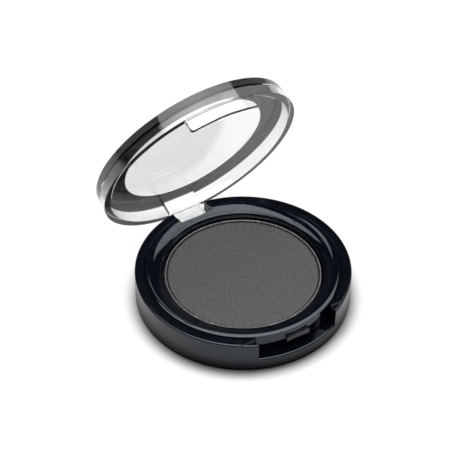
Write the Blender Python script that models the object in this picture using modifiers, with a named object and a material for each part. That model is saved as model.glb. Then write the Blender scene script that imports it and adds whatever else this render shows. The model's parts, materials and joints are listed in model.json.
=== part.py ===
"""Round single-pan eyeshadow compact with a hinged clear lid, shown open. Metres, +Z up."""
import math

import bmesh
import bpy
from mathutils import Matrix

# Pan and powder
pan_radius = 0.0181
pan_height = 0.00375
pan_sheet = 0.00035
pan_corner = 0.0005
pan_clearance = 0.0005
powder_gap = 0.0003
powder_recess = 0.0002
powder_edge = 0.0003

# Case
rim_width = 0.00225
rim_height = 0.00775
floor_thickness = 0.0016
rim_round = 0.0004
foot_round = 0.0005
seat_gap = 0.0003
seam_gap = 0.00015

# Frame around the pan
frame_width = 0.0040
frame_wall = 0.0012
collar_rise = 0.00045
crest_inset = 0.00095
crest_round = 0.0012
crest_lean = math.radians(7)
slope_round = 0.0069
outer_round = 0.0024
outer_edge_round = 0.00014
wall_run = 0.00044
lip_drop = 0.0011
lip_width = 0.0005
lip_round = 0.0003

# Glue pad and label
adhesive_radius = 0.0130
adhesive_thickness = 0.0003
label_radius = 0.0165
label_thickness = 0.0002

# Hinge
hinge_inset = 0.00215
hinge_height = 0.00354
pin_radius = 0.0006
pin_clearance = 0.0001
pin_hold = 0.0029
lug_width = 0.0082
lug_radius = 0.0014
lug_side_gap = 0.00025
lug_floor_gap = 0.0008
slot_reach = 0.0024
ear_width = 0.0040
ear_rise = 0.0025
open_angle = math.radians(68.5)

# Lid
lid_inset = 0.0001
lid_closing_gap = 0.0002
lid_height = 0.00467
lid_plate = 0.00177
lid_skirt = 0.00165
lid_draft = 0.0003
lid_edge_round = 0.0004
lid_corner_round = 0.0003

# Latch at the front
tab_width = 0.0176
tab_drop = 0.00315
tab_thickness = 0.0009
tab_inset = 0.0001
tab_corner = 0.0008
tab_side_gap = 0.0014
finger_gap = 0.0016
catch_width = 0.0050
catch_height = 0.0004
catch_depth = 0.0006
nub_width = 0.0060
nub_height = 0.0014
nub_depth = 0.0005
nub_round = 0.0002
nub_rise = 0.0002
step_reach = 0.00405
step_drop = 0.0002

# How finely round shapes are divided
turn_steps = 72
rod_steps = 24
arc_steps = 3
bevel_steps = 2
sharp_angle = math.radians(40)
weld_distance = 0.000001

# Sizes that follow from those above
well_radius = pan_radius + pan_clearance
frame_radius = well_radius + frame_width
case_inner_radius = frame_radius + seam_gap
case_radius = case_inner_radius + rim_width
frame_bottom = floor_thickness + seat_gap
adhesive_bottom = floor_thickness + seat_gap
pan_bottom = adhesive_bottom + adhesive_thickness + seat_gap
pan_top = pan_bottom + pan_height
collar_z = rim_height + collar_rise
lip_z = rim_height - lip_drop
recess_radius = label_radius + seat_gap
recess_depth = label_thickness + seat_gap
hinge_y = case_radius - hinge_inset
slot_front = hinge_y - slot_reach
slot_width = lug_width + 2 * lug_side_gap
slot_floor = hinge_height - lug_radius - lug_floor_gap
ear_front = slot_front + 2 * seat_gap
ear_back = math.sqrt(case_inner_radius**2 - (slot_width / 2) ** 2) + seat_gap
ear_side = slot_width / 2 + ear_width
ear_top = hinge_height + ear_rise
pin_end = slot_width / 2 + pin_hold
bore_radius = pin_radius + pin_clearance
lid_radius = case_radius - lid_inset
lid_rim_z = rim_height + lid_closing_gap
lid_top_z = lid_rim_z + lid_height
plate_z = lid_top_z - lid_plate
skirt_radius = lid_radius - lid_skirt
tab_end_z = lid_rim_z - tab_drop
tab_outer_radius = lid_radius - tab_inset
tab_inner_radius = tab_outer_radius - tab_thickness
notch_width = tab_width + 2 * tab_side_gap
notch_floor = tab_end_z - finger_gap
outside = case_radius + rim_width
overhead = lid_top_z + rim_width
join = seat_gap


def clear_scene():
    """Remove every object of the open file."""
    for item in list(bpy.data.objects):
        bpy.data.objects.remove(item, do_unlink=True)


def new_collection(name):
    """Add a collection to the scene."""
    collection = bpy.data.collections.new(name)
    bpy.context.scene.collection.children.link(collection)
    return collection


def plain_material(name, colour, roughness, metallic=0.0, transmission=0.0):
    """A Principled material of one colour."""
    material = bpy.data.materials.new(name)
    material.use_nodes = True
    shader = material.node_tree.nodes["Principled BSDF"]
    shader.inputs["Base Color"].default_value = (*colour, 1.0)
    shader.inputs["Roughness"].default_value = roughness
    shader.inputs["Metallic"].default_value = metallic
    shader.inputs["Transmission Weight"].default_value = transmission
    return material


def arc(centre, radius, start, end):
    """Points of a round corner, with angles in degrees from the first axis towards +Z."""
    points = []
    for step in range(arc_steps + 1):
        angle = math.radians(start + (end - start) * step / arc_steps)
        points.append((centre[0] + radius * math.cos(angle), centre[1] + radius * math.sin(angle)))
    return points


def bend(start, radius, first, last):
    """Points that run on from a start point around a bend between two leans from upright."""
    points = []
    for step in range(1, arc_steps + 1):
        lean = first + (last - first) * step / arc_steps
        across = start[0] + radius * (math.sin(lean) - math.sin(first))
        points.append((across, start[1] + radius * (math.cos(lean) - math.cos(first))))
    return points


def object_from(shape, name, collection, material=None):
    """Turn a finished bmesh into an object of a collection."""
    mesh = bpy.data.meshes.new(name)
    shape.to_mesh(mesh)
    shape.free()
    if material:
        mesh.materials.append(material)
    item = bpy.data.objects.new(name, mesh)
    collection.objects.link(item)
    return item


def turned(name, profile, collection, material=None, closed=False):
    """A shape turned about Z from a profile at +X that runs down its outer side."""
    shape = bmesh.new()
    corners = [shape.verts.new((radius, 0.0, height)) for radius, height in profile]
    pairs = list(zip(corners, corners[1:]))
    if closed:
        pairs.append((corners[-1], corners[0]))
    for pair in pairs:
        shape.edges.new(pair)
    item = object_from(shape, name, collection, material)
    screw = item.modifiers.new("turn", "SCREW")
    screw.steps = turn_steps
    screw.render_steps = turn_steps
    screw.use_merge_vertices = True
    screw.merge_threshold = weld_distance
    screw.use_smooth_shade = True
    return item


def block(name, low, high, collection):
    """A box between two corners."""
    shape = bmesh.new()
    bmesh.ops.create_cube(shape, size=1.0)
    for corner in shape.verts:
        corner.co = [low[i] + (corner.co[i] + 0.5) * (high[i] - low[i]) for i in range(3)]
    return object_from(shape, name, collection)


def prism(name, outline, across, start, end, collection):
    """A flat outline that is pushed along X or Y."""
    shape = bmesh.new()
    corners = []
    for along, height in outline:
        place = (start, along, height) if across == "X" else (along, start, height)
        corners.append(shape.verts.new(place))
    face = shape.faces.new(corners)
    pushed = bmesh.ops.extrude_face_region(shape, geom=[face])
    far_corners = [part for part in pushed["geom"] if isinstance(part, bmesh.types.BMVert)]
    push = (end - start, 0.0, 0.0) if across == "X" else (0.0, end - start, 0.0)
    bmesh.ops.translate(shape, vec=push, verts=far_corners)
    bmesh.ops.recalc_face_normals(shape, faces=shape.faces)
    return object_from(shape, name, collection)


def rod(name, radius, start, end, collection, material=None):
    """A cylinder along the hinge axis between two places on X."""
    shape = bmesh.new()
    bmesh.ops.create_cone(
        shape, cap_ends=True, segments=rod_steps, radius1=radius, radius2=radius, depth=end - start
    )
    middle = Matrix.Translation(((start + end) / 2, hinge_y, hinge_height))
    bmesh.ops.transform(shape, matrix=middle @ Matrix.Rotation(math.pi / 2, 4, "Y"), verts=shape.verts)
    item = object_from(shape, name, collection, material)
    item.data.shade_smooth()
    item.data.set_sharp_from_angle(angle=sharp_angle)
    return item


def combine(item, tool, operation):
    """Cut an object with a tool shape, join them or keep what they share."""
    tool.hide_render = True
    tool.display_type = "WIRE"
    change = item.modifiers.new(tool.name, "BOOLEAN")
    change.operation = operation
    change.solver = "EXACT"
    change.object = tool


def make_base_case(parts, tools, plastic):
    """The round case with its floor, wall, hinge ears, hinge slot and finger notch."""
    profile = [(0.0, floor_thickness), (case_inner_radius, floor_thickness), (case_inner_radius, rim_height)]
    profile += arc((case_radius - rim_round, rim_height - rim_round), rim_round, 90, 0)
    profile += arc((case_radius - foot_round, foot_round), foot_round, 0, -90)
    profile += [(recess_radius, 0.0), (recess_radius, recess_depth), (0.0, recess_depth)]
    case = turned("base_case", profile, parts, plastic)

    for side, word in ((-1, "left"), (1, "right")):
        edges = sorted((side * (slot_width / 2 - join), side * ear_side))
        low = (edges[0], ear_front, floor_thickness - join)
        high = (edges[1], ear_back, ear_top)
        combine(case, block(f"hinge_ear_{word}", low, high, tools), "UNION")
    slot = block(
        "hinge_slot", (-slot_width / 2, slot_front, slot_floor), (slot_width / 2, outside, overhead), tools
    )
    combine(case, slot, "DIFFERENCE")
    combine(case, rod("pin_bore", bore_radius, -outside, outside, tools), "DIFFERENCE")

    notch = block(
        "finger_notch", (-notch_width / 2, -outside, notch_floor), (notch_width / 2, 0.0, overhead), tools
    )
    combine(case, notch, "DIFFERENCE")
    for side, word in ((-1, "left"), (1, "right")):
        edges = sorted((side * (notch_width / 2 - join), side * outside))
        low = (edges[0], -outside, rim_height - step_drop)
        high = (edges[1], step_reach - case_radius, overhead)
        combine(case, block(f"notch_step_{word}", low, high, tools), "DIFFERENCE")
    return case


def collar_outline():
    """Points of the collar from the wall beside the pan over the crest to the outer edge."""
    crest = (frame_radius - crest_inset, collar_z)
    inward = bend(crest, crest_round, 0.0, -crest_lean)
    slope_top = inward[-1]
    wall_radius = well_radius + lip_width + wall_run
    slope_lean = math.asin(math.sin(crest_lean) + (slope_top[0] - wall_radius) / slope_round)
    inward += bend(slope_top, slope_round, -crest_lean, -slope_lean)
    outer_lean = math.asin((crest_inset - outer_edge_round) / (outer_round - outer_edge_round))
    outward = bend(crest, outer_round, 0.0, outer_lean)
    outward += bend(outward[-1], outer_edge_round, outer_lean, math.pi / 2)
    return [*reversed(inward), crest, *outward]


def make_pan_frame(parts, tools, plastic):
    """The ring between case and pan: rounded collar, inner lip and latch nub, cored from below."""
    profile = arc((well_radius + lip_round, lip_z - lip_round), lip_round, 180, 90)
    profile += [(well_radius + lip_width, lip_z)]
    profile += collar_outline()
    profile += [(frame_radius, frame_bottom), (well_radius, frame_bottom)]
    frame = turned("pan_frame", profile, parts, plastic, closed=True)

    core_inner = well_radius + frame_wall
    core_outer = frame_radius - frame_wall
    core_top = lip_z - frame_wall
    core_profile = [(core_inner, core_top), (core_outer, core_top), (core_outer, 0.0), (core_inner, 0.0)]
    core = turned("frame_core", core_profile, tools, closed=True)
    solid_side = ear_side + frame_wall
    hinge_side = block(
        "hinge_side", (-solid_side, 0.0, -frame_bottom), (solid_side, outside, rim_height), tools
    )
    combine(core, hinge_side, "DIFFERENCE")
    combine(frame, core, "DIFFERENCE")

    ear_room = block(
        "ear_room",
        (-ear_side - seat_gap, ear_front - seat_gap, 0.0),
        (ear_side + seat_gap, outside, ear_top + seat_gap),
        tools,
    )
    combine(frame, ear_room, "DIFFERENCE")
    lug_room = block(
        "lug_room", (-slot_width / 2, slot_front, 0.0), (slot_width / 2, outside, overhead), tools
    )
    combine(frame, lug_room, "DIFFERENCE")

    nub_low = tab_end_z + nub_rise
    nub = block(
        "latch_nub",
        (-nub_width / 2, -frame_radius - nub_depth, nub_low),
        (nub_width / 2, -frame_radius + frame_wall / 2, nub_low + nub_height),
        tools,
    )
    nub_bevel = nub.modifiers.new("rounded", "BEVEL")
    nub_bevel.width = nub_round
    nub_bevel.segments = bevel_steps
    combine(frame, nub, "UNION")
    return frame


def make_lid(parts, tools, plastic, hinge):
    """The clear lid with skirt, front tab and hinge lug, modelled shut and hung on the hinge."""
    top_radius = lid_radius - lid_draft
    profile = [(0.0, lid_top_z)]
    profile += arc((top_radius - lid_edge_round, lid_top_z - lid_edge_round), lid_edge_round, 90, 0)
    profile += [(lid_radius, lid_rim_z), (skirt_radius, lid_rim_z)]
    profile += arc((skirt_radius - lid_corner_round, plate_z - lid_corner_round), lid_corner_round, 0, 90)
    profile += [(0.0, plate_z)]
    lid = turned("clear_lid", profile, parts, plastic)

    tab, tab_ring = make_tab(tools)
    catch = block(
        "tab_catch",
        (-catch_width / 2, -tab_inner_radius - tab_thickness / 2, tab_end_z),
        (catch_width / 2, -tab_inner_radius + catch_depth, tab_end_z + catch_height),
        tools,
    )
    lug_top = plate_z + join
    lug_outline = [(hinge_y + lug_radius, lug_top), (hinge_y - lug_radius, lug_top)]
    lug_outline += round_end()
    lug = prism("hinge_lug", lug_outline, "X", -lug_width / 2, lug_width / 2, tools)
    bore = rod("lug_bore", bore_radius, -lug_width, lug_width, tools)
    for tool, operation in ((tab, "UNION"), (catch, "UNION"), (lug, "UNION"), (bore, "DIFFERENCE")):
        combine(lid, tool, operation)
    for item in (lid, tab, tab_ring, catch, lug, bore):
        item.parent = hinge
        item.location = (0.0, -hinge_y, -hinge_height)
    return lid


def round_end():
    """The half circle of the lug around the hinge pin, from its front to its back."""
    points = []
    half_turn = rod_steps // 2
    for step in range(half_turn + 1):
        angle = math.pi + math.pi * step / half_turn
        points.append((hinge_y + lug_radius * math.cos(angle), hinge_height + lug_radius * math.sin(angle)))
    return points


def make_tab(tools):
    """The curved front tab, a rounded outline kept only inside the wall of a ring, and that ring."""
    side = tab_width / 2
    tab_top = lid_rim_z + join
    outline = [(-side, tab_top)]
    outline += arc((tab_corner - side, tab_end_z + tab_corner), tab_corner, 180, 270)
    outline += arc((side - tab_corner, tab_end_z + tab_corner), tab_corner, 270, 360)
    outline += [(side, tab_top)]
    tab = prism("front_tab", outline, "Y", -outside, 0.0, tools)
    ring_profile = [
        (tab_outer_radius, overhead),
        (tab_outer_radius, 0.0),
        (tab_inner_radius, 0.0),
        (tab_inner_radius, overhead),
    ]
    ring = turned("tab_ring", ring_profile, tools, closed=True)
    combine(tab, ring, "INTERSECT")
    return tab, ring


def make_pan(parts, metal):
    """The pressed aluminium pan."""
    inner_radius = pan_radius - pan_sheet
    lip = pan_sheet / 2
    profile = [(0.0, pan_bottom + pan_sheet), (inner_radius, pan_bottom + pan_sheet)]
    profile += arc((pan_radius - lip, pan_top - lip), lip, 180, 0)
    profile += arc((pan_radius - pan_corner, pan_bottom + pan_corner), pan_corner, 0, -90)
    profile += [(0.0, pan_bottom)]
    return turned("eyeshadow_pan", profile, parts, metal)


def make_powder(parts, powder):
    """The pressed powder that fills the pan."""
    radius = pan_radius - pan_sheet - powder_gap
    top = pan_top - powder_recess
    profile = [(0.0, top)]
    profile += arc((radius - powder_edge, top - powder_edge), powder_edge, 90, 0)
    profile += [(radius, pan_bottom + pan_sheet + powder_gap), (0.0, pan_bottom + pan_sheet + powder_gap)]
    return turned("pressed_powder", profile, parts, powder)


def make_disc(name, radius, bottom, thickness, parts, material):
    """A thin flat disc."""
    top = bottom + thickness
    return turned(name, [(0.0, top), (radius, top), (radius, bottom), (0.0, bottom)], parts, material)


def main():
    """Build every piece of the compact, with the lid open."""
    clear_scene()
    parts = new_collection("eyeshadow_compact")
    tools = new_collection("cutting_shapes")
    black_plastic = plain_material("black_plastic", (0.012, 0.012, 0.014), 0.15)
    frame_plastic = plain_material("frame_plastic", (0.010, 0.010, 0.012), 0.12)
    clear_plastic = plain_material("clear_plastic", (0.95, 0.96, 0.96), 0.03, transmission=1.0)
    steel = plain_material("steel", (0.60, 0.60, 0.62), 0.30, metallic=1.0)
    aluminium = plain_material("aluminium", (0.80, 0.80, 0.81), 0.35, metallic=1.0)
    grey_powder = plain_material("grey_powder", (0.11, 0.11, 0.11), 0.85)
    glue = plain_material("glue", (0.85, 0.84, 0.78), 0.60)
    label_paper = plain_material("label_paper", (0.85, 0.85, 0.84), 0.70)

    hinge = bpy.data.objects.new("lid_hinge", None)
    parts.objects.link(hinge)
    hinge.location = (0.0, hinge_y, hinge_height)
    hinge.rotation_euler = (-open_angle, 0.0, 0.0)

    make_base_case(parts, tools, black_plastic)
    make_pan_frame(parts, tools, frame_plastic)
    make_lid(parts, tools, clear_plastic, hinge)
    rod("hinge_pin", pin_radius, -pin_end, pin_end, parts, steel)
    make_pan(parts, aluminium)
    make_powder(parts, grey_powder)
    make_disc("pan_adhesive", adhesive_radius, adhesive_bottom, adhesive_thickness, parts, glue)
    make_disc("base_label", label_radius, 0.0, label_thickness, parts, label_paper)


main()
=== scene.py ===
"""Finished looks of a round eyeshadow compact, built around its packed model. Metres, +Z up."""
import json
import math

import bmesh
import bpy
from mathutils import Matrix, Vector, noise


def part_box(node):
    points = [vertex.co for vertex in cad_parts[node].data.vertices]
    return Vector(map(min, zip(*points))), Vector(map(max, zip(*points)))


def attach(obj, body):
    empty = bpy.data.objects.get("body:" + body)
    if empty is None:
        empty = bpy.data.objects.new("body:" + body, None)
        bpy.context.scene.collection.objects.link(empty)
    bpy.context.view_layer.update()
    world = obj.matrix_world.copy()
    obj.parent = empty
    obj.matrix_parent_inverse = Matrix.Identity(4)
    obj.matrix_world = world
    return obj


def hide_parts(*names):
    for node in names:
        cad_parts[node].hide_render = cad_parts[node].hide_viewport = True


bl_info = {
    "name": "Round eyeshadow compact",
    "version": (1, 0, 0),
    "blender": (4, 5, 0),
    "location": "View3D > Sidebar > Compact",
    "description": "Builds the finished surfaces of a round eyeshadow compact around its packed model",
    "category": "Add Mesh",
}

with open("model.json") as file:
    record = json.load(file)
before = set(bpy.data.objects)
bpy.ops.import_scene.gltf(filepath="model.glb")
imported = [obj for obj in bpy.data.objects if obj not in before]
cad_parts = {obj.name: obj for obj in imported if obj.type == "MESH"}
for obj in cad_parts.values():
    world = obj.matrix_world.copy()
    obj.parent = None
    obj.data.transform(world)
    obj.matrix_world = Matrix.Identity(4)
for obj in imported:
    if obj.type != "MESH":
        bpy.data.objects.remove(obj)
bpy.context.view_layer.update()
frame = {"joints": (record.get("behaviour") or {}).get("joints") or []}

# Places read from the packed model
case_low, case_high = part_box("base_case")
collar_low, collar_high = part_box("pan_frame")
lid_low, lid_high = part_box("clear_lid")
pin_low, pin_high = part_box("hinge_pin")
pan_low, pan_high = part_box("eyeshadow_pan")
powder_low, powder_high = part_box("pressed_powder")
glue_low, glue_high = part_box("pan_adhesive")
label_low, label_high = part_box("base_label")
lid_joint = frame["joints"][0]
hinge_point = Vector(lid_joint["pos_m"])
open_angle = math.radians(-lid_joint["range_deg"][0])

# How finely shapes are divided
TURN_SEGMENTS = 288
ARC_STEPS = 8
SLOPE_STEPS = 12
EDGE_STEPS = 4
SHARP_ANGLE = math.radians(30)
MERGE_DISTANCE = 0.0000005
SQUARE_MILLIMETRE = 0.000001
# How far cutting shapes reach past what they cut
PAST = 0.004
OVERLAP = 0.0003
# How far the rounding of a cut into the rim runs out of the wall
RUN_OUT = 0.000005


def length(name, description, default):
    """A length that a user can change."""
    return bpy.props.FloatProperty(
        name=name, description=description, default=default, unit="LENGTH", precision=5
    )


def turn(name, description, default):
    """An angle that a user can change."""
    return bpy.props.FloatProperty(
        name=name, description=description, default=default, subtype="ANGLE", unit="ROTATION"
    )


def share(name, description, default):
    """A plain number that a user can change."""
    return bpy.props.FloatProperty(name=name, description=description, default=default, precision=4)


def colour(name, description, default):
    """A colour that a user can change."""
    return bpy.props.FloatVectorProperty(
        name=name, description=description, default=default, subtype="COLOR", size=3, min=0.0, max=1.0
    )


def place(name, description, default):
    """A point that a user can change."""
    return bpy.props.FloatVectorProperty(
        name=name, description=description, default=default, subtype="XYZ", unit="LENGTH", precision=5
    )


class CaseSettings(bpy.types.PropertyGroup):
    """Sizes and finish of the black case."""

    radius: length("Radius", "Outer radius of the case", case_high.x)
    height: length("Height", "Height of the rim", case_high.z)
    rim_width: length("Rim width", "Width of the flat rim", 0.00225)
    floor: length("Floor", "Height of the inner floor", 0.0016)
    rim_round: length("Rim round", "Rounding of the rim's outer edge", 0.0004)
    foot_round: length("Foot round", "Rounding of the foot", 0.0005)
    seam_round: length("Seam round", "Rounding where the rim meets the collar", 0.00012)
    edge_round: length("Edge round", "Rounding of cut edges", 0.00009)
    notch_width: length("Notch width", "Width of the finger notch", 0.0204)
    notch_floor: length("Notch floor", "Height of the finger notch's floor", 0.0032)
    step_reach: length("Step reach", "How far the low steps beside the notch run back", 0.00405)
    step_drop: length("Step drop", "How far the steps lie below the rim", 0.0002)
    slot_width: length("Slot width", "Width of the hinge slot", 0.0087)
    slot_reach: length("Slot reach", "How far the hinge slot runs in front of the pin", 0.0024)
    slot_floor: length("Slot floor", "Height of the hinge slot's floor", 0.00134)
    ear_width: length("Ear width", "Width of each hinge ear", 0.004)
    ear_rise: length("Ear rise", "Height of a hinge ear above the pin", 0.0025)
    bore_radius: length("Bore radius", "Radius of the bore around the pin", 0.0007)
    label_gap: length("Label gap", "Space around the label in its recess", 0.0003)
    tint: colour("Colour", "Colour of the case", (0.0014, 0.0020, 0.0036))
    roughness: share("Roughness", "Roughness of the case", 0.10)


class CollarSettings(bpy.types.PropertyGroup):
    """Sizes and finish of the black ring around the pan."""

    radius: length("Radius", "Outer radius of the ring", collar_high.x)
    well_radius: length("Well radius", "Radius of the hole for the pan", 0.0186)
    bottom: length("Bottom", "Height of the ring's underside", collar_low.z)
    top: length("Top", "Height of the collar", collar_high.z)
    crest_radius: length("Crest radius", "Radius of the collar's crest", 0.02165)
    crest_round: length("Crest round", "Rounding of the crest towards the pan", 0.0012)
    crest_lean: turn("Crest lean", "Where the crest's rounding gives way to the slope", math.radians(7))
    slope_round: length("Slope round", "Gentle rounding of the slope towards the pan", 0.0069)
    slope_lean: turn("Slope lean", "How steep the slope becomes", math.radians(24))
    ledge_round: length("Ledge round", "Rounding in which the slope grows steeper", 0.0023)
    ledge_lean: turn("Ledge lean", "How steep the slope is where it meets the wall", math.radians(38))
    outer_round: length("Outer round", "Gentle rounding of the collar towards the rim", 0.0024)
    outer_lean: turn("Outer lean", "How far the collar leans at its outer edge", math.radians(21))
    edge_round: length("Edge round", "Rounding of the collar's outer edge", 0.00014)
    lip_height: length("Lip height", "Height of the lip beside the pan", 0.00665)
    lip_round: length("Lip round", "Rounding of the lip", 0.00008)
    wall: length("Wall", "Wall thickness of the cored underside", 0.0012)
    ear_gap: length("Ear gap", "Space around the hinge ears", 0.0003)
    nub_front: length("Nub front", "How far forward the latch nub reaches", -collar_low.y)
    nub_width: length("Nub width", "Width of the latch nub", 0.006)
    nub_bottom: length("Nub bottom", "Height of the latch nub's underside", 0.005)
    nub_height: length("Nub height", "Height of the latch nub", 0.0014)
    cut_round: length("Cut round", "Rounding of cut edges", 0.00009)
    tint: colour("Colour", "Colour of the ring", (0.0012, 0.0018, 0.0034))
    roughness: share("Roughness", "Roughness of the ring", 0.06)


class LidSettings(bpy.types.PropertyGroup):
    """Sizes and finish of the clear lid, shut."""

    radius: length("Radius", "Outer radius of the lid's rim", lid_high.x)
    rim_height: length("Rim height", "Height of the rim when shut", 0.00795)
    height: length("Height", "Height of the lid from rim to top", 0.00467)
    plate: length("Plate", "Thickness of the flat top", 0.00177)
    skirt: length("Skirt", "Thickness of the skirt", 0.00165)
    draft: length("Draft", "How far the wall leans in over its height", 0.0003)
    edge_round: length("Edge round", "Rounding of the top edge", 0.00018)
    corner_round: length("Corner round", "Rounding of the inner corner", 0.0003)
    rim_round: length("Rim round", "Rounding of the rim's edges", 0.00004)
    border_inner: length("Border inner", "Inner radius of the dark border", 0.0178)
    border_outer: length("Border outer", "Outer radius of the dark border", 0.02442)
    tab_width: length("Tab width", "Width of the front tab", 0.0176)
    tab_drop: length("Tab drop", "How far the tab hangs below the rim", 0.00315)
    tab_thickness: length("Tab thickness", "Thickness of the tab", 0.0009)
    tab_inset: length("Tab inset", "How far the tab lies inside the rim", 0.0001)
    tab_corner: length("Tab corner", "Rounding of the tab's corners", 0.0008)
    catch_width: length("Catch width", "Width of the catch on the tab", 0.005)
    catch_height: length("Catch height", "Height of the catch", 0.0004)
    catch_depth: length("Catch depth", "Depth of the catch", 0.0006)
    lug_width: length("Lug width", "Width of the hinge lug", 0.0082)
    lug_radius: length("Lug radius", "Radius of the lug around the pin", 0.0014)
    bore_radius: length("Bore radius", "Radius of the lug's bore", 0.0007)
    soft_edge: length("Soft edge", "Rounding of the tab's and lug's edges", 0.00007)
    tint: colour("Colour", "Tint of the clear plastic", (0.985, 0.990, 0.990))
    border_tint: colour("Border colour", "Colour of the dark border", (0.004, 0.004, 0.005))
    refraction: share("Refraction", "Index of refraction of the clear plastic", 1.57)


class PanSettings(bpy.types.PropertyGroup):
    """Sizes and finish of the aluminium pan and the hinge pin."""

    radius: length("Radius", "Outer radius of the pan", pan_high.x)
    bottom: length("Bottom", "Height of the pan's underside", pan_low.z)
    height: length("Height", "Height of the pan", 0.00375)
    sheet: length("Sheet", "Thickness of the sheet", 0.00035)
    corner: length("Corner", "Rounding of the lower corner", 0.0005)
    pin_chamfer: length("Pin chamfer", "Chamfer at the ends of the hinge pin", 0.00015)
    tint: colour("Pan colour", "Colour of the aluminium", (0.42, 0.42, 0.43))
    pin_tint: colour("Pin colour", "Colour of the steel", (0.60, 0.60, 0.62))


class PowderSettings(bpy.types.PropertyGroup):
    """Sizes and finish of the pressed powder."""

    radius: length("Radius", "Radius of the powder", powder_high.x)
    bottom: length("Bottom", "Height of the powder's underside", powder_low.z)
    top: length("Top", "Height of the powder's surface", powder_high.z)
    edge_round: length("Edge round", "Rounding of the powder's edge", 0.0003)
    swell: length("Swell", "Depth of the unevenness left by pressing", 0.000010)
    grain: length("Grain", "Depth of the fine grain", 0.000010)
    rings: bpy.props.IntProperty(
        name="Rings", description="How many rings the powder's surface is divided into", default=84
    )
    flakes: share("Flakes", "Pearl flakes on a square millimetre", 4.0)
    flake_size: length("Flake size", "Radius of a pearl flake", 0.00007)
    seed: bpy.props.IntProperty(name="Seed", description="Where the flakes fall", default=7)
    tint: colour("Colour", "Colour of the powder", (0.0665, 0.0665, 0.0665))


class UndersideSettings(bpy.types.PropertyGroup):
    """Finish of the glue pad and the blank label."""

    edge_round: length("Edge round", "Rounding of both discs", 0.00006)
    glue_tint: colour("Glue colour", "Colour of the glue pad", (0.80, 0.78, 0.70))
    label_tint: colour("Label colour", "Colour of the blank label", (0.80, 0.80, 0.79))


class StageSettings(bpy.types.PropertyGroup):
    """Camera, floor and light."""

    azimuth: turn("Azimuth", "Direction of the camera around the compact", math.radians(-31.83))
    elevation: turn("Elevation", "Height angle of the camera", math.radians(42.33))
    distance: length("Distance", "Distance from the camera to its aim", 0.4)
    aim: place("Aim", "Point that the camera looks at", (0.0028, 0.01242, 0.010))
    lens: share("Lens", "Focal length in millimetres", 136.4)
    floor_size: length("Floor size", "Side of the floor", 6.0)
    floor_tint: colour("Floor colour", "Colour of the floor", (0.645, 0.645, 0.645))
    floor_lift: share("Floor lift", "Light added to the floor where the camera sees it", 0.86)
    floor_share: share("Floor share", "Share of the lamp light on the floor that the camera sees", 0.2)
    glass_lift: share("Glass lift", "Light added to the floor where it is seen through the lid", 0.055)
    contact: length("Contact", "Reach of the dark contact shadow", 0.0043)
    contact_lean: place("Contact lean", "Direction towards which the contact shadow looks for the compact", (0.26, 0.50, 0.0))
    top_place: place("Top place", "Middle of the softbox overhead", (0.075, -0.0415, 0.6))
    top_length: length("Top length", "Length of the softbox overhead", 1.08)
    top_width: length("Top width", "Width of the softbox overhead", 0.66)
    top_turn: turn("Top turn", "Turn of the softbox overhead", math.radians(13.3))
    top_level: share("Top level", "Brightness of the softbox overhead, where 1 is white", 4.6)
    back_place: place("Back place", "Middle of the softbox behind", (-0.100, 0.386, 0.6))
    back_length: length("Back length", "Length of the softbox behind", 0.64)
    back_width: length("Back width", "Width of the softbox behind", 0.22)
    back_turn: turn("Back turn", "Turn of the softbox behind", math.radians(25.7))
    back_level: share("Back level", "Brightness of the softbox behind, where 1 is white", 4.2)
    lamp_spread: turn("Lamp spread", "Angle over which the softboxes shine", math.radians(129))
    room_level: share("Room level", "Brightness of the dim room around the stage", 0.02)


class Value:
    """An output in a node tree that adds Math nodes when it is used in a sum."""

    def __init__(self, graph, socket):
        self.graph = graph
        self.socket = socket

    def other(self, name):
        """Another output of the same node."""
        return Value(self.graph, self.socket.node.outputs[name])

    def __add__(self, other):
        return self.graph.math("ADD", self, other)

    def __radd__(self, other):
        return self.graph.math("ADD", other, self)

    def __sub__(self, other):
        return self.graph.math("SUBTRACT", self, other)

    def __rsub__(self, other):
        return self.graph.math("SUBTRACT", other, self)

    def __mul__(self, other):
        return self.graph.math("MULTIPLY", self, other)

    def __rmul__(self, other):
        return self.graph.math("MULTIPLY", other, self)

    def __truediv__(self, other):
        return self.graph.math("DIVIDE", self, other)

    def __pow__(self, other):
        return self.graph.math("POWER", self, other)


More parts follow.
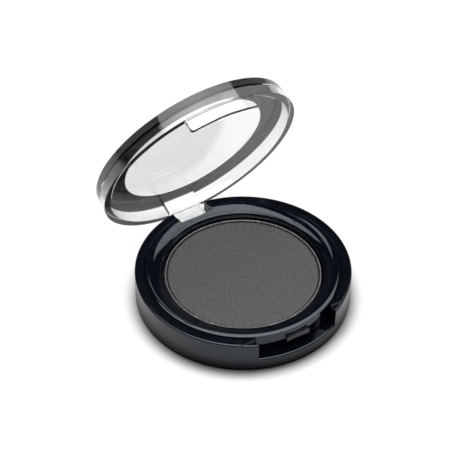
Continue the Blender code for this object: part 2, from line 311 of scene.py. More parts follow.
class Graph:
    """A node tree that is written as expressions."""

    def __init__(self, tree):
        self.tree = tree

    def node(self, kind, settings=None, sockets=None, output=0):
        """Add a node: first its settings, then the values or links of its sockets."""
        made = self.tree.nodes.new(kind)
        for name, value in (settings or {}).items():
            if name == "stops":
                self.set_stops(made.color_ramp, value)
            else:
                setattr(made, name, value)
        for name, value in (sockets or {}).items():
            self.feed(made.inputs[name], value)
        return Value(self, made.outputs[output]) if made.outputs else made

    def feed(self, socket, value):
        """Link an output to a socket, or set the socket's own value."""
        if isinstance(value, Value):
            self.tree.links.new(value.socket, socket)
        elif socket.type == "RGBA":
            socket.default_value = (*value, 1.0)
        else:
            socket.default_value = value

    def set_stops(self, ramp, stops):
        """Give a colour ramp its stops, each a place and a grey level."""
        while len(ramp.elements) < len(stops):
            ramp.elements.new(1.0)
        for element, (where, level) in zip(ramp.elements, stops):
            element.position = where
            element.color = (level, level, level, 1.0)

    def math(self, operation, first, second=0.0):
        """A Math node."""
        return self.node("ShaderNodeMath", {"operation": operation}, {0: first, 1: second})

    def mix(self, factor, first, second):
        """A colour between two colours."""
        settings = {"data_type": "RGBA"}
        return self.node("ShaderNodeMix", settings, {0: factor, 6: first, 7: second}, output=2)

    def noise(self, where, scale, detail=2.0, rough=0.5):
        """Fractal noise from 0 to 1."""
        sockets = {"Vector": where, "Scale": scale, "Detail": detail, "Roughness": rough}
        return self.node("ShaderNodeTexNoise", sockets=sockets)

    def stretched(self, where, scale):
        """Coordinates that are scaled along each axis."""
        return self.node("ShaderNodeMapping", sockets={"Vector": where, "Scale": scale})

    def ramp(self, value, *stops):
        """A value passed through a ramp of stops."""
        return self.node("ShaderNodeValToRGB", {"stops": stops}, {0: value})

    def bump(self, height, strength, distance):
        """A normal that follows a height."""
        sockets = {"Height": height, "Strength": strength, "Distance": distance}
        return self.node("ShaderNodeBump", sockets=sockets)


class Finish(Graph):
    """The node tree of a material."""

    def __init__(self, name):
        self.material = bpy.data.materials.new(name)
        self.material.use_nodes = True
        super().__init__(self.material.node_tree)
        self.tree.nodes.clear()
        self.here = self.node("ShaderNodeTexCoord", output="Object")

    def principled(self, sockets):
        """A Principled shader."""
        return self.node("ShaderNodeBsdfPrincipled", sockets=sockets)

    def surface(self, shader):
        """Use a shader as the material's surface."""
        self.node("ShaderNodeOutputMaterial", sockets={"Surface": shader})
        return self.material


def black_moulding(name, tint, roughness):
    """Polished black plastic with a soft haze, a few fine hairlines and specks of dust."""
    finish = Finish(name)
    haze = finish.noise(finish.here, 140.0, 4.0, 0.6)
    streaks = finish.noise(finish.stretched(finish.here, (9.0, 0.5, 1.0)), 420.0, 3.0)
    hairlines = finish.ramp(streaks, (0.70, 0.0), (0.78, 1.0))
    dust = finish.ramp(finish.noise(finish.here, 3600.0, 1.0), (0.79, 0.0), (0.84, 1.0))
    lighter = tuple(part * 1.4 for part in tint)
    return finish.surface(
        finish.principled(
            {
                "Base Color": finish.mix(haze, tint, lighter),
                "Roughness": roughness + 0.02 * (haze - 0.5) + 0.02 * hairlines + 0.1 * dust,
                "Normal": finish.bump(haze, 0.02, 0.00002),
                "IOR": 1.54,
                "Specular Tint": (0.84, 0.92, 1.0),
            }
        )
    )


def clear_moulding(name, tint, refraction):
    """Clear plastic that lets lamp light through, with a faint haze."""
    finish = Finish(name)
    haze = finish.noise(finish.here, 90.0, 2.0)
    darker = tuple(part * 0.985 for part in tint)
    plastic = finish.principled(
        {
            "Base Color": finish.mix(haze, tint, darker),
            "Roughness": 0.004 + 0.006 * haze,
            "Transmission Weight": 1.0,
            "IOR": refraction,
        }
    )
    passing = finish.node("ShaderNodeBsdfTransparent", sockets={"Color": tuple(part * 0.93 for part in tint)})
    lamp_ray = finish.node("ShaderNodeLightPath", output="Is Shadow Ray")
    return finish.surface(finish.node("ShaderNodeMixShader", sockets={0: lamp_ray, 1: plastic, 2: passing}))


def border_ink(name, tint):
    """Dark printed border with the faint cloudiness of an even film of ink."""
    finish = Finish(name)
    film = finish.noise(finish.here, 180.0, 2.0)
    lighter = tuple(part * 1.3 for part in tint)
    return finish.surface(
        finish.principled(
            {
                "Base Color": finish.mix(film, tint, lighter),
                "Roughness": 0.26 + 0.04 * film,
                "Specular Tint": (0.84, 0.89, 1.0),
            }
        )
    )


def pressed_sheet(name, tint):
    """Aluminium sheet dulled by powder, with bare bright specks."""
    finish = Finish(name)
    dulled = finish.noise(finish.here, 520.0, 3.0)
    bare = finish.ramp(finish.noise(finish.here, 2400.0, 2.0), (0.50, 0.0), (0.62, 1.0))
    dusty = tuple(part * 0.32 for part in tint)
    darker = tuple(part * 0.20 for part in tint)
    return finish.surface(
        finish.principled(
            {
                "Base Color": finish.mix(bare, finish.mix(dulled, dusty, darker), tint),
                "Metallic": 0.4 + 0.6 * bare,
                "Roughness": 0.6 - 0.25 * bare,
                "Normal": finish.bump(dulled, 0.10, 0.00002),
            }
        )
    )


def drawn_steel(name, tint):
    """Steel wire with lines along its length."""
    finish = Finish(name)
    lines = finish.noise(finish.stretched(finish.here, (0.2, 6.0, 6.0)), 1500.0, 3.0)
    darker = tuple(part * 0.7 for part in tint)
    return finish.surface(
        finish.principled(
            {
                "Base Color": finish.mix(lines, tint, darker),
                "Metallic": 1.0,
                "Roughness": 0.25 + 0.2 * lines,
                "Normal": finish.bump(lines, 0.1, 0.00002),
            }
        )
    )


def powder_finish(name, tint):
    """Matt pressed powder with a fine grain and a faint pearl sheen."""
    finish = Finish(name)
    cloud = finish.noise(finish.here, 160.0, 3.0)
    grain = finish.noise(finish.here, 3000.0, 3.0, 0.7)
    speck = finish.ramp(finish.noise(finish.here, 5200.0, 1.0), (0.66, 0.0), (0.72, 1.0))
    dark = tuple(part * 0.42 for part in tint)
    light = tuple(part * 1.58 for part in tint)
    grained = finish.mix(finish.ramp(grain, (0.38, 0.0), (0.62, 1.0)), dark, light)
    clouded = finish.mix(0.25 * cloud, grained, tint)
    glint = tuple(min(1.0, part * 2.2) for part in tint)
    return finish.surface(
        finish.principled(
            {
                "Base Color": finish.mix(0.5 * speck, clouded, glint),
                "Roughness": 0.62 - 0.15 * speck,
                "Metallic": 0.35,
                "Normal": finish.bump(grain, 0.35, 0.00006),
            }
        )
    )


def pearl_flake_finish(name, tint):
    """Tiny pearl flakes, each a little lighter or darker than its neighbour."""
    finish = Finish(name)
    tone = finish.node("ShaderNodeAttribute", {"attribute_name": "tone"}, output="Fac")
    dark = tuple(part * 0.55 for part in tint)
    light = tuple(min(1.0, part * 2.0) for part in tint)
    return finish.surface(
        finish.principled(
            {"Base Color": finish.mix(tone, dark, light), "Roughness": 0.45 + 0.2 * tone, "Metallic": 0.25}
        )
    )


def glue_finish(name, tint):
    """Soft pale glue with small bubbles."""
    finish = Finish(name)
    bubbles = finish.ramp(finish.noise(finish.here, 900.0, 2.0), (0.60, 0.0), (0.68, 1.0))
    darker = tuple(part * 0.8 for part in tint)
    return finish.surface(
        finish.principled(
            {
                "Base Color": finish.mix(bubbles, tint, darker),
                "Roughness": 0.45 + 0.2 * bubbles,
                "Normal": finish.bump(bubbles, 0.2, 0.00005),
            }
        )
    )


def label_stock(name, tint):
    """Blank matt label paper with short fibres."""
    finish = Finish(name)
    fibres = finish.noise(finish.stretched(finish.here, (1.0, 3.0, 1.0)), 1800.0, 4.0, 0.6)
    darker = tuple(part * 0.90 for part in tint)
    return finish.surface(
        finish.principled(
            {
                "Base Color": finish.mix(fibres, tint, darker),
                "Roughness": 0.65 + 0.2 * fibres,
                "Normal": finish.bump(fibres, 0.15, 0.00003),
            }
        )
    )


def floor_paper(name, tint, lift, shown, glass_lift, contact, lean):
    """Pale floor that shows as white to the camera and keeps a soft dark shadow around the compact."""
    finish = Finish(name)
    tooth = finish.noise(finish.here, 400.0, 3.0)
    rays = finish.node("ShaderNodeLightPath", output="Is Camera Ray")
    seen = rays * lift + rays.other("Is Transmission Ray") * glass_lift
    towards = finish.node("ShaderNodeCombineXYZ", sockets={0: lean[0], 1: lean[1], 2: 1.0})
    near = {"Distance": contact, "Normal": finish.node("ShaderNodeVectorMath", {"operation": "NORMALIZE"}, {0: towards})}
    open_sky = finish.node("ShaderNodeAmbientOcclusion", {"samples": 16}, near, "AO")
    shade = finish.node("ShaderNodeMapRange", {"interpolation_type": "SMOOTHSTEP"}, {"Value": open_sky, 1: 0.26, 2: 0.97})
    darker = tuple(part * 0.99 for part in tint)
    black = (0.0, 0.0, 0.0)
    return finish.surface(
        finish.principled(
            {
                "Base Color": finish.mix(shade * (1.0 - rays * (1.0 - shown)), black, finish.mix(tooth, tint, darker)),
                "Roughness": 0.9,
                "Specular IOR Level": 0.0,
                "Emission Color": finish.mix(seen * shade, black, (1.0, 1.0, 1.0)),
                "Emission Strength": 1.0,
            }
        )
    )


def turned_tree():
    """The node tree that turns a profile about Z, and the identifier of its segment count."""
    tree = bpy.data.node_groups.new("turned_piece", "GeometryNodeTree")
    tree.interface.new_socket("Profile", in_out="INPUT", socket_type="NodeSocketGeometry")
    segment_input = tree.interface.new_socket("Segments", in_out="INPUT", socket_type="NodeSocketInt")
    material_input = tree.interface.new_socket("Material", in_out="INPUT", socket_type="NodeSocketMaterial")
    tree.interface.new_socket("Piece", in_out="OUTPUT", socket_type="NodeSocketGeometry")
    graph = Graph(tree)
    profile = graph.node("NodeGroupInput", output="Profile")
    segments = profile.other("Segments")
    points = graph.node("GeometryNodeAttributeDomainSize", {"component": "MESH"}, {0: profile}, "Point Count")
    grid = graph.node("GeometryNodeMeshGrid", sockets={"Vertices X": segments + 1.0, "Vertices Y": points})
    index = graph.node("GeometryNodeInputIndex")
    column = graph.math("FLOOR", index / points)
    row = index - column * points
    position = graph.node("GeometryNodeInputPosition")
    sampled = graph.node(
        "GeometryNodeSampleIndex",
        {"data_type": "FLOAT_VECTOR", "domain": "POINT"},
        {"Geometry": profile, "Value": position, "Index": row},
    )
    corner = graph.node("ShaderNodeSeparateXYZ", sockets={0: sampled})
    angle = column * math.tau / segments
    across = corner * graph.math("COSINE", angle)
    along = corner * graph.math("SINE", angle)
    spot = graph.node("ShaderNodeCombineXYZ", sockets={0: across, 1: along, 2: corner.other("Z")})
    shaped = graph.node("GeometryNodeSetPosition", sockets={"Geometry": grid, "Position": spot})
    closed = graph.node("GeometryNodeMergeByDistance", sockets={"Geometry": shaped, "Distance": MERGE_DISTANCE})
    smooth = graph.node("GeometryNodeSetShadeSmooth", sockets={"Geometry": closed})
    plain = graph.node("GeometryNodeRealizeInstances", sockets={"Geometry": smooth})
    dressed = graph.node(
        "GeometryNodeSetMaterial", sockets={"Geometry": plain, "Material": profile.other("Material")}
    )
    graph.node("NodeGroupOutput", sockets={"Piece": dressed})
    return tree, segment_input.identifier, material_input.identifier


def flake_tree():
    """The node tree that strews flakes over a surface, and the identifiers of its inputs by name."""
    tree = bpy.data.node_groups.new("pearl_flakes", "GeometryNodeTree")
    sockets = {
        "Surface": "NodeSocketGeometry",
        "Density": "NodeSocketFloat",
        "Size": "NodeSocketFloat",
        "Seed": "NodeSocketInt",
        "Material": "NodeSocketMaterial",
    }
    inputs = {}
    for name, kind in sockets.items():
        inputs[name] = tree.interface.new_socket(name, in_out="INPUT", socket_type=kind).identifier
    tree.interface.new_socket("Flakes", in_out="OUTPUT", socket_type="NodeSocketGeometry")
    graph = Graph(tree)
    surface = graph.node("NodeGroupInput", output="Surface")
    seed = surface.other("Seed")
    points = graph.node(
        "GeometryNodeDistributePointsOnFaces",
        {"distribute_method": "RANDOM"},
        {"Mesh": surface, "Density": surface.other("Density"), "Seed": seed},
    )
    flake = graph.node(
        "GeometryNodeMeshCone",
        {"fill_type": "TRIANGLE_FAN"},
        {
            "Vertices": 6,
            "Side Segments": 1,
            "Fill Segments": 1,
            "Radius Top": 0.55,
            "Radius Bottom": 1.0,
            "Depth": 0.45,
        },
    )
    lean = graph.node(
        "FunctionNodeRandomValue",
        {"data_type": "FLOAT_VECTOR"},
        {"Min": (-0.35, -0.35, 0.0), "Max": (0.35, 0.35, math.tau), "Seed": seed + 1.0},
    )
    size = graph.node("FunctionNodeRandomValue", {"data_type": "FLOAT"}, {"Seed": seed + 2.0}, 1)
    tone = graph.node("FunctionNodeRandomValue", {"data_type": "FLOAT"}, {"Seed": seed + 3.0}, 1)
    scale = surface.other("Size") * (0.45 + 0.75 * size)
    strewn = graph.node(
        "GeometryNodeInstanceOnPoints",
        sockets={"Points": points, "Instance": flake, "Rotation": lean, "Scale": scale},
    )
    toned = graph.node(
        "GeometryNodeStoreNamedAttribute",
        {"data_type": "FLOAT", "domain": "INSTANCE"},
        {"Geometry": strewn, "Name": "tone", "Value": tone},
    )
    plain = graph.node("GeometryNodeRealizeInstances", sockets={"Geometry": toned})
    dressed = graph.node(
        "GeometryNodeSetMaterial", sockets={"Geometry": plain, "Material": surface.other("Material")}
    )
    graph.node("NodeGroupOutput", sockets={"Flakes": dressed})
    return tree, inputs


def arc(centre, radius, start, end, steps=ARC_STEPS):
    """Points of a round corner, with angles in degrees from the first axis towards +Z."""
    points = []
    for step in range(steps + 1):
        angle = math.radians(start + (end - start) * step / steps)
        points.append((centre[0] + radius * math.cos(angle), centre[1] + radius * math.sin(angle)))
    return points


def bend(start, radius, first, last, steps=ARC_STEPS):
    """Points that run from a start point around a bend between two leans from upright."""
    points = []
    for step in range(1, steps + 1):
        lean = first + (last - first) * step / steps
        across = start[0] + radius * (math.sin(lean) - math.sin(first))
        points.append((across, start[1] + radius * (math.cos(lean) - math.cos(first))))
    return points


def new_object(name, mesh):
    """Put a mesh into the scene."""
    item = bpy.data.objects.new(name, mesh)
    bpy.context.scene.collection.objects.link(item)
    return item


def flatten(item):
    """Keep what an object's modifiers make of it as its plain mesh."""
    old = item.data
    shaped = item.evaluated_get(bpy.context.evaluated_depsgraph_get())
    mesh = bpy.data.meshes.new_from_object(shaped)
    item.modifiers.clear()
    item.data = mesh
    bpy.data.meshes.remove(old)
    return item


def face_outwards(item):
    """Turn the faces of a closed mesh outwards."""
    shape = bmesh.new()
    shape.from_mesh(item.data)
    bmesh.ops.recalc_face_normals(shape, faces=shape.faces)
    shape.to_mesh(item.data)
    shape.free()
    return item


def turned(name, profile, material=None, segments=TURN_SEGMENTS):
    """A closed piece turned about Z from a profile of radius and height."""
    outline = bpy.data.meshes.new(name)
    corners = [(radius, 0.0, height) for radius, height in profile]
    outline.from_pydata(corners, [(i, i + 1) for i in range(len(corners) - 1)], [])
    item = new_object(name, outline)
    tree, segment_input, material_input = turned_tree()
    modifier = item.modifiers.new("turn", "NODES")
    modifier.node_group = tree
    modifier[segment_input] = segments
    modifier[material_input] = material
    flatten(item)
    bpy.data.node_groups.remove(tree)
    return face_outwards(item)


def turned_ring(name, profile, material=None):
    """A closed ring turned about Z from the corners of its section."""
    return turned(name, [*profile, profile[0]], material)


def tool_from(name, shape):
    """Make a cutting shape of a finished bmesh."""
    for face in shape.faces:
        face.smooth = True
    mesh = bpy.data.meshes.new(name)
    shape.to_mesh(mesh)
    shape.free()
    return new_object(name, mesh)


def block(name, low, high):
    """A box between two corners."""
    shape = bmesh.new()
    bmesh.ops.create_cube(shape, size=1.0)
    for corner in shape.verts:
        corner.co = [low[i] + (corner.co[i] + 0.5) * (high[i] - low[i]) for i in range(3)]
    return tool_from(name, shape)


def prism(name, outline, across, start, end):
    """A flat outline that is pushed along X or Y."""
    shape = bmesh.new()
    corners = []
    for along, height in outline:
        corners.append(shape.verts.new((start, along, height) if across == "X" else (along, start, height)))
    face = shape.faces.new(corners)
    pushed = bmesh.ops.extrude_face_region(shape, geom=[face])
    far_corners = [part for part in pushed["geom"] if isinstance(part, bmesh.types.BMVert)]
    push = (end - start, 0.0, 0.0) if across == "X" else (0.0, end - start, 0.0)
    bmesh.ops.translate(shape, vec=push, verts=far_corners)
    bmesh.ops.recalc_face_normals(shape, faces=shape.faces)
    return tool_from(name, shape)


def rod(name, radius, reach):
    """A cylinder along the hinge axis that reaches as far to both sides."""
    shape = bmesh.new()
    bmesh.ops.create_cone(shape, cap_ends=True, segments=48, radius1=radius, radius2=radius, depth=2 * reach)
    move = Matrix.Translation(hinge_point) @ Matrix.Rotation(math.pi / 2, 4, "Y")
    bmesh.ops.transform(shape, matrix=move, verts=shape.verts)
    return tool_from(name, shape)


def carve(item, *changes):
    """Cut a piece with tools, join them to it or keep what they share, and drop the tools."""
    for tool, operation in changes:
        change = item.modifiers.new(tool.name, "BOOLEAN")
        change.operation = operation
        change.solver = "EXACT"
        change.object = tool
    flatten(item)
    for tool, _ in changes:
        bpy.data.meshes.remove(tool.data)
    return item


def even_shading(item):
    """Let the larger faces around each corner decide how it is shaded."""
    mesh = item.data
    sums = [Vector() for _ in mesh.vertices]
    for face in mesh.polygons:
        weight = (face.area / SQUARE_MILLIMETRE) ** 2
        for corner in face.vertices:
            sums[corner] += weight * face.normal
    mesh.normals_split_custom_set_from_vertices([total.normalized() for total in sums])
    return item


def soften(item, width):
    """Round the sharp edges a little and even out the shading."""
    if width:
        edges = item.modifiers.new("edges", "BEVEL")
        edges.width = width
        edges.segments = EDGE_STEPS
        edges.limit_method = "ANGLE"
        edges.angle_limit = SHARP_ANGLE
        edges.use_clamp_overlap = False
    weld = item.modifiers.new("weld", "WELD")
    weld.merge_threshold = MERGE_DISTANCE
    flatten(item)
    return even_shading(item)


def set_finish(item, *materials):
    """Give a piece its materials."""
    item.data.materials.clear()
    for material in materials:
        item.data.materials.append(material)


def stand_for(item, node, body):
    """Let a piece stand for a node of the packed model."""
    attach(item, body)
    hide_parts(node)


def rim_cut(name, case, level, half_width, back):
    """A shape that cuts the front of the case down to a level and leaves a rounded outer edge there."""
    outside = case.radius + PAST
    overhead = case.height + PAST
    centre = (case.radius + RUN_OUT - case.rim_round, level - case.rim_round)
    profile = [(0.0, level), *arc(centre, case.rim_round, 90, 0)]
    profile += [(outside, centre[1]), (outside, overhead), (0.0, overhead)]
    front = block("front", (-half_width, -outside, 0.0), (half_width, back, overhead + PAST))
    return carve(turned(name, profile), (front, "INTERSECT"))


def make_case(case, pan_gap):
    """The black case with floor, wall, hinge ears, hinge slot and finger notch."""
    inner = case.radius - case.rim_width
    recess = label_high.x + case.label_gap
    recess_depth = label_high.z + case.label_gap
    profile = [(0.0, case.floor), (inner, case.floor)]
    profile += arc((inner + case.seam_round, case.height - case.seam_round), case.seam_round, 180, 90)
    profile += arc((case.radius - case.rim_round, case.height - case.rim_round), case.rim_round, 90, 0)
    profile += arc((case.radius - case.foot_round, case.foot_round), case.foot_round, 0, -90)
    profile += [(recess, 0.0), (recess, recess_depth), (0.0, recess_depth)]
    item = turned("case_shell", profile)

    outside = case.radius + PAST
    overhead = case.height + PAST
    half_slot = case.slot_width / 2
    slot_front = hinge_point.y - case.slot_reach
    ear_front = slot_front + 2 * pan_gap
    ear_back = math.sqrt(inner**2 - half_slot**2) + pan_gap
    ear_top = hinge_point.z + case.ear_rise
    half_notch = case.notch_width / 2
    changes = []
    for side, word in ((-1, "left"), (1, "right")):
        edges = sorted((side * (half_slot - OVERLAP), side * (half_slot + case.ear_width)))
        low = (edges[0], ear_front, case.floor - OVERLAP)
        changes.append((block(f"ear_{word}", low, (edges[1], ear_back, ear_top)), "UNION"))
    slot = block("slot", (-half_slot, slot_front, case.slot_floor), (half_slot, outside, overhead))
    changes.append((slot, "DIFFERENCE"))
    changes.append((rod("pin_bore", case.bore_radius, outside), "DIFFERENCE"))
    step_back = case.step_reach - case.radius
    changes.append((rim_cut("notch", case, case.notch_floor, half_notch, 0.0), "DIFFERENCE"))
    changes.append((rim_cut("steps", case, case.height - case.step_drop, outside, step_back), "DIFFERENCE"))
    carve(item, *changes)
    soften(item, case.edge_round)
    set_finish(item, black_moulding("case_black", case.tint, case.roughness))
    stand_for(item, "base_case", "base")


def make_collar(collar, case):
    """The black ring between case and pan: collar, slope, lip and latch nub, cored from below."""
    crest = (collar.crest_radius, collar.top)
    inward = bend(crest, collar.crest_round, 0.0, -collar.crest_lean)
    inward += bend(inward[-1], collar.slope_round, -collar.crest_lean, -collar.slope_lean, SLOPE_STEPS)
    outward = bend(crest, collar.outer_round, 0.0, collar.outer_lean, SLOPE_STEPS)
    outward += bend(outward[-1], collar.edge_round, collar.outer_lean, math.pi / 2)
    inward += bend(inward[-1], collar.ledge_round, -collar.slope_lean, -collar.ledge_lean)
    lip_centre = (collar.well_radius + collar.lip_round, collar.lip_height - collar.lip_round)
    profile = arc(lip_centre, collar.lip_round, 180, 90)
    profile += [(inward[-1][0], collar.lip_height), *reversed(inward), crest, *outward]
    profile += [(collar.radius, collar.bottom), (collar.well_radius, collar.bottom)]
    item = turned_ring("collar_ring", profile)

    outside = case.radius + PAST
    overhead = collar.top + PAST
    half_slot = case.slot_width / 2
    slot_front = hinge_point.y - case.slot_reach
    ear_front = slot_front + collar.ear_gap
    ear_side = half_slot + case.ear_width + collar.ear_gap
    ear_top = hinge_point.z + case.ear_rise + collar.ear_gap
    core_inner = collar.well_radius + collar.wall
    core_outer = collar.radius - collar.wall
    core_top = collar.lip_height - collar.wall
    core = turned_ring(
        "core", [(core_inner, core_top), (core_outer, core_top), (core_outer, 0.0), (core_inner, 0.0)]
    )
    solid_side = ear_side - collar.ear_gap + collar.wall
    hinge_side = block("hinge_side", (-solid_side, 0.0, -collar.bottom), (solid_side, outside, overhead))
    carve(core, (hinge_side, "DIFFERENCE"))
    ear_room = block("ear_room", (-ear_side, ear_front, 0.0), (ear_side, outside, ear_top))
    lug_room = block("lug_room", (-half_slot, slot_front, 0.0), (half_slot, outside, overhead))
    half_nub = collar.nub_width / 2
    nub_top = collar.nub_bottom + collar.nub_height
    nub_back = -collar.radius + collar.wall / 2
    nub = block("nub", (-half_nub, -collar.nub_front, collar.nub_bottom), (half_nub, nub_back, nub_top))
    carve(
        item,
        (core, "DIFFERENCE"),
        (ear_room, "DIFFERENCE"),
        (lug_room, "DIFFERENCE"),
        (nub, "UNION"),
    )
    soften(item, collar.cut_round)
    set_finish(item, black_moulding("collar_black", collar.tint, collar.roughness))
    stand_for(item, "pan_frame", "base")


def lid_tab(lid):
    """The curved front tab of the lid: a rounded outline kept inside the wall of a ring."""
    side = lid.tab_width / 2
    top = lid.rim_height + OVERLAP
    end = lid.rim_height - lid.tab_drop
    outline = [(-side, top)]
    outline += arc((lid.tab_corner - side, end + lid.tab_corner), lid.tab_corner, 180, 270)
    outline += arc((side - lid.tab_corner, end + lid.tab_corner), lid.tab_corner, 270, 360)
    outline += [(side, top)]
    tab = prism("tab", outline, "Y", -lid.radius - PAST, 0.0)
    outer = lid.radius - lid.tab_inset
    inner = outer - lid.tab_thickness
    overhead = lid.rim_height + PAST
    ring = turned_ring("tab_ring", [(outer, overhead), (outer, 0.0), (inner, 0.0), (inner, overhead)])
    return carve(tab, (ring, "INTERSECT")), inner, end


def make_lid(lid):
    """The clear lid with skirt, tab, catch and hinge lug, and its dark border."""
    top = lid.rim_height + lid.height
    plate = top - lid.plate
    top_radius = lid.radius - lid.draft
    skirt = lid.radius - lid.skirt
    bead = lid.rim_round
    profile = [(0.0, top), (lid.border_inner, top), (lid.border_outer, top)]
    profile += arc((top_radius - lid.edge_round, top - lid.edge_round), lid.edge_round, 90, 0)[1:]
    profile += arc((lid.radius - bead, lid.rim_height + bead), bead, 0, -90)
    profile += arc((skirt + bead, lid.rim_height + bead), bead, 270, 180)
    profile += arc((skirt - lid.corner_round, plate - lid.corner_round), lid.corner_round, 0, 90)
    profile += [(0.0, plate)]
    item = turned("lid_shell", profile)

    tab, tab_inner, tab_end = lid_tab(lid)
    half_catch = lid.catch_width / 2
    catch = block(
        "catch",
        (-half_catch, -tab_inner - lid.tab_thickness / 2, tab_end),
        (half_catch, -tab_inner + lid.catch_depth, tab_end + lid.catch_height),
    )
    lug_top = plate + OVERLAP
    outline = [(hinge_point.y + lid.lug_radius, lug_top), (hinge_point.y - lid.lug_radius, lug_top)]
    outline += arc((hinge_point.y, hinge_point.z), lid.lug_radius, 180, 360, 4 * ARC_STEPS)
    lug = prism("lug", outline, "X", -lid.lug_width / 2, lid.lug_width / 2)
    bore = rod("lug_bore", lid.bore_radius, lid.lug_width)
    carve(item, (tab, "UNION"), (catch, "UNION"), (lug, "UNION"), (bore, "DIFFERENCE"))
    soften(item, lid.soft_edge)

    plastic = clear_moulding("lid_clear", lid.tint, lid.refraction)
    set_finish(item, plastic, border_ink("lid_border", lid.border_tint))
    for face in item.data.polygons:
        radius = face.center.xy.length
        if face.normal.z > 0.99 and face.center.z > plate and lid.border_inner < radius < lid.border_outer:
            face.material_index = 1
    swing = Matrix.Translation(hinge_point) @ Matrix.Rotation(-open_angle, 4, "X") @ Matrix.Translation(-hinge_point)
    item.data.transform(swing)
    stand_for(item, "clear_lid", "lid")


def make_pan(pan):
    """The pressed aluminium pan with its rolled lip."""
    inner = pan.radius - pan.sheet
    top = pan.bottom + pan.height
    lip = pan.sheet / 2
    profile = [(0.0, pan.bottom + pan.sheet), (inner, pan.bottom + pan.sheet)]
    profile += arc((pan.radius - lip, top - lip), lip, 180, 0)
    profile += arc((pan.radius - pan.corner, pan.bottom + pan.corner), pan.corner, 0, -90)
    profile += [(0.0, pan.bottom)]
    item = soften(turned("pan_tray", profile), 0.0)
    set_finish(item, pressed_sheet("pan_aluminium", pan.tint))
    stand_for(item, "eyeshadow_pan", "base")


def make_pin(pan):
    """The steel hinge pin with chamfered ends."""
    radius = (pin_high.z - pin_low.z) / 2
    half = pin_high.x
    inner = radius - pan.pin_chamfer
    end = half - pan.pin_chamfer
    profile = [(0.0, half), (inner, half), (radius, end), (radius, -end), (inner, -half), (0.0, -half)]
    item = soften(turned("pin_rod", profile, segments=48), 0.0)
    item.data.transform(Matrix.Translation(hinge_point) @ Matrix.Rotation(math.pi / 2, 4, "Y"))
    set_finish(item, drawn_steel("pin_steel", pan.pin_tint))
    stand_for(item, "hinge_pin", "base")


def make_powder(powder):
    """The pressed powder with the unevenness of pressing, and pearl flakes on it."""
    flat_radius = powder.radius - powder.edge_round
    profile = [(flat_radius * ring / powder.rings, powder.top) for ring in range(powder.rings)]
    profile += arc((flat_radius, powder.top - powder.edge_round), powder.edge_round, 90, 0)
    profile += [(powder.radius, powder.bottom), (0.0, powder.bottom)]
    item = turned("powder_cake", profile, segments=2 * TURN_SEGMENTS)
    level = powder.top - powder.edge_round
    for corner in item.data.vertices:
        if corner.co.z > level:
            swell = noise.noise(corner.co * 260.0)
            grain = noise.fractal(corner.co * 2200.0, 1.0, 2.0, 3)
            corner.co.z += powder.swell * (swell - 1.0) + powder.grain * (grain - 1.0)
    set_finish(item, powder_finish("powder_grey", powder.tint))
    stand_for(item, "pressed_powder", "base")

    surface = bmesh.new()
    bmesh.ops.create_circle(surface, cap_ends=True, segments=96, radius=flat_radius - powder.edge_round)
    bmesh.ops.translate(surface, vec=(0.0, 0.0, powder.top - powder.swell - powder.grain), verts=surface.verts)
    flakes = tool_from("pearl_flakes", surface)
    tree, inputs = flake_tree()
    modifier = flakes.modifiers.new("strew", "NODES")
    modifier.node_group = tree
    modifier[inputs["Density"]] = powder.flakes * 1000000.0
    modifier[inputs["Size"]] = powder.flake_size
    modifier[inputs["Seed"]] = powder.seed
    finish = pearl_flake_finish("pearl_grey", powder.tint)
    modifier[inputs["Material"]] = finish
    flatten(flakes)
    set_finish(flakes, finish)
    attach(flakes, "base")


def make_disc(name, low, high, edge):
    """A thin disc with rounded edges."""
    radius = high.x
    profile = [(0.0, high.z)]
    profile += arc((radius - edge, high.z - edge), edge, 90, 0)
    profile += arc((radius - edge, low.z + edge), edge, 0, -90)
    profile += [(0.0, low.z)]
    return soften(turned(name, profile), 0.0)


def make_underside(underside):
    """The glue pad under the pan and the blank label under the case."""
    glue = make_disc("glue_pad", glue_low, glue_high, underside.edge_round)
    set_finish(glue, glue_finish("glue_pale", underside.glue_tint))
    stand_for(glue, "pan_adhesive", "base")
    label = make_disc("blank_label", label_low, label_high, underside.edge_round)
    set_finish(label, label_stock("label_paper_white", underside.label_tint))
    stand_for(label, "base_label", "base")


def make_camera(stage):
    """The camera at the viewing angle of the photograph."""
    flat = math.cos(stage.elevation)
    back = Vector(
        (math.sin(stage.azimuth) * flat, -math.cos(stage.azimuth) * flat, math.sin(stage.elevation))
    )
    camera = bpy.data.objects.new("camera", bpy.data.cameras.new("camera"))
    bpy.context.scene.collection.objects.link(camera)
    camera.data.lens = stage.lens
    camera.data.clip_start = 0.01
    camera.location = Vector(stage.aim) + stage.distance * back
    camera.rotation_euler = (-back).to_track_quat("-Z", "Y").to_euler()
    bpy.context.scene.camera = camera


def make_floor(stage):
    """The pale floor."""
    shape = bmesh.new()
    bmesh.ops.create_grid(shape, x_segments=1, y_segments=1, size=stage.floor_size / 2)
    mesh = bpy.data.meshes.new("floor")
    shape.to_mesh(mesh)
    shape.free()
    item = new_object("floor", mesh)
    set_finish(item, floor_paper("floor_white", stage.floor_tint, stage.floor_lift, stage.floor_share, stage.glass_lift, stage.contact, stage.contact_lean))


def make_softbox(name, middle, size, width, turned_by, level, spread):
    """A softbox that hangs flat above the floor and shines less to its sides."""
    half_spread = spread / 2
    lamp = bpy.data.lights.new(name, "AREA")
    lamp.shape = "RECTANGLE"
    lamp.size = size
    lamp.size_y = width
    lamp.spread = spread
    lamp.energy = level * math.pi * size * width * (1.0 - half_spread / math.tan(half_spread))
    item = bpy.data.objects.new(name, lamp)
    item.location = middle
    item.rotation_euler.z = turned_by
    item.visible_camera = False
    bpy.context.scene.collection.objects.link(item)


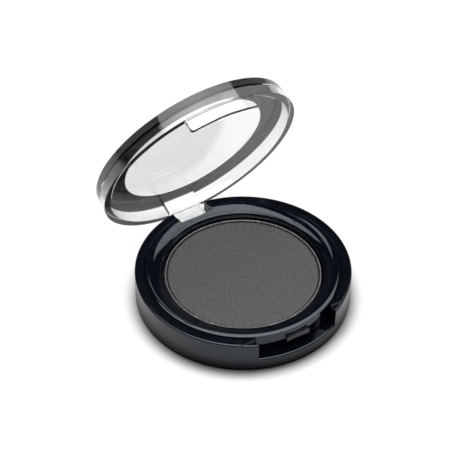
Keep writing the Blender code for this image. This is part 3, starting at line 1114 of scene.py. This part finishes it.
def make_room(stage):
    """A dim room that shows as white behind the compact."""
    world = bpy.data.worlds.new("room")
    world.use_nodes = True
    world.node_tree.nodes.clear()
    graph = Graph(world.node_tree)
    camera_ray = graph.node("ShaderNodeLightPath", output="Is Camera Ray")
    level = stage.room_level + (1.0 - stage.room_level) * camera_ray
    background = graph.node("ShaderNodeBackground", sockets={"Color": (1.0, 1.0, 1.0), "Strength": level})
    graph.node("ShaderNodeOutputWorld", sockets={"Surface": background})
    bpy.context.scene.world = world


class COMPACT_OT_stage(bpy.types.Operator):
    """Set up the camera, the floor, the softbox and the room"""

    bl_idname = "compact.stage"
    bl_label = "Stage"

    def execute(self, context):
        stage = context.scene.compact_stage
        context.scene.view_settings.view_transform = "Standard"
        make_camera(stage)
        make_floor(stage)
        make_softbox(
            "softbox_top",
            stage.top_place,
            stage.top_length,
            stage.top_width,
            stage.top_turn,
            stage.top_level,
            stage.lamp_spread,
        )
        make_softbox(
            "softbox_back",
            stage.back_place,
            stage.back_length,
            stage.back_width,
            stage.back_turn,
            stage.back_level,
            stage.lamp_spread,
        )
        make_room(stage)
        return {"FINISHED"}


class COMPACT_OT_case(bpy.types.Operator):
    """Make the black case"""

    bl_idname = "compact.case"
    bl_label = "Case"

    def execute(self, context):
        make_case(context.scene.compact_case, context.scene.compact_collar.ear_gap)
        return {"FINISHED"}


class COMPACT_OT_collar(bpy.types.Operator):
    """Make the black ring around the pan"""

    bl_idname = "compact.collar"
    bl_label = "Collar ring"

    def execute(self, context):
        make_collar(context.scene.compact_collar, context.scene.compact_case)
        return {"FINISHED"}


class COMPACT_OT_lid(bpy.types.Operator):
    """Make the clear lid"""

    bl_idname = "compact.lid"
    bl_label = "Lid"

    def execute(self, context):
        make_lid(context.scene.compact_lid)
        return {"FINISHED"}


class COMPACT_OT_metal(bpy.types.Operator):
    """Make the aluminium pan and the hinge pin"""

    bl_idname = "compact.metal"
    bl_label = "Pan and pin"

    def execute(self, context):
        make_pan(context.scene.compact_pan)
        make_pin(context.scene.compact_pan)
        return {"FINISHED"}


class COMPACT_OT_powder(bpy.types.Operator):
    """Make the pressed powder and its pearl flakes"""

    bl_idname = "compact.powder"
    bl_label = "Powder"

    def execute(self, context):
        make_powder(context.scene.compact_powder)
        return {"FINISHED"}


class COMPACT_OT_underside(bpy.types.Operator):
    """Make the glue pad and the blank label"""

    bl_idname = "compact.underside"
    bl_label = "Glue pad and label"

    def execute(self, context):
        make_underside(context.scene.compact_underside)
        return {"FINISHED"}


class COMPACT_PT_sidebar(bpy.types.Panel):
    """Lists what the compact is made of"""

    bl_label = "Eyeshadow compact"
    bl_idname = "COMPACT_PT_sidebar"
    bl_space_type = "VIEW_3D"
    bl_region_type = "UI"
    bl_category = "Compact"

    def draw(self, context):
        for operator in OPERATORS:
            self.layout.operator(operator.bl_idname)
        for name, group in SETTINGS.items():
            column = self.layout.column(heading=group.__doc__)
            for key in group.__annotations__:
                column.prop(getattr(context.scene, name), key)


SETTINGS = {
    "compact_stage": StageSettings,
    "compact_case": CaseSettings,
    "compact_collar": CollarSettings,
    "compact_lid": LidSettings,
    "compact_pan": PanSettings,
    "compact_powder": PowderSettings,
    "compact_underside": UndersideSettings,
}
OPERATORS = (
    COMPACT_OT_stage,
    COMPACT_OT_case,
    COMPACT_OT_collar,
    COMPACT_OT_lid,
    COMPACT_OT_metal,
    COMPACT_OT_powder,
    COMPACT_OT_underside,
)


def register():
    """Add the settings, operators and panel to Blender."""
    for name, group in SETTINGS.items():
        bpy.utils.register_class(group)
        setattr(bpy.types.Scene, name, bpy.props.PointerProperty(type=group))
    for made in (*OPERATORS, COMPACT_PT_sidebar):
        bpy.utils.register_class(made)


def unregister():
    """Take the settings, operators and panel out of Blender again."""
    for made in (COMPACT_PT_sidebar, *reversed(OPERATORS)):
        bpy.utils.unregister_class(made)
    for name, group in SETTINGS.items():
        delattr(bpy.types.Scene, name)
        bpy.utils.unregister_class(group)


def main():
    """Build the compact and its stage, and write the boxes of both models."""
    register()
    bpy.ops.compact.stage()
    bpy.ops.compact.case()
    bpy.ops.compact.collar()
    bpy.ops.compact.lid()
    bpy.ops.compact.metal()
    bpy.ops.compact.powder()
    bpy.ops.compact.underside()


if __name__ == "__main__":
    main()
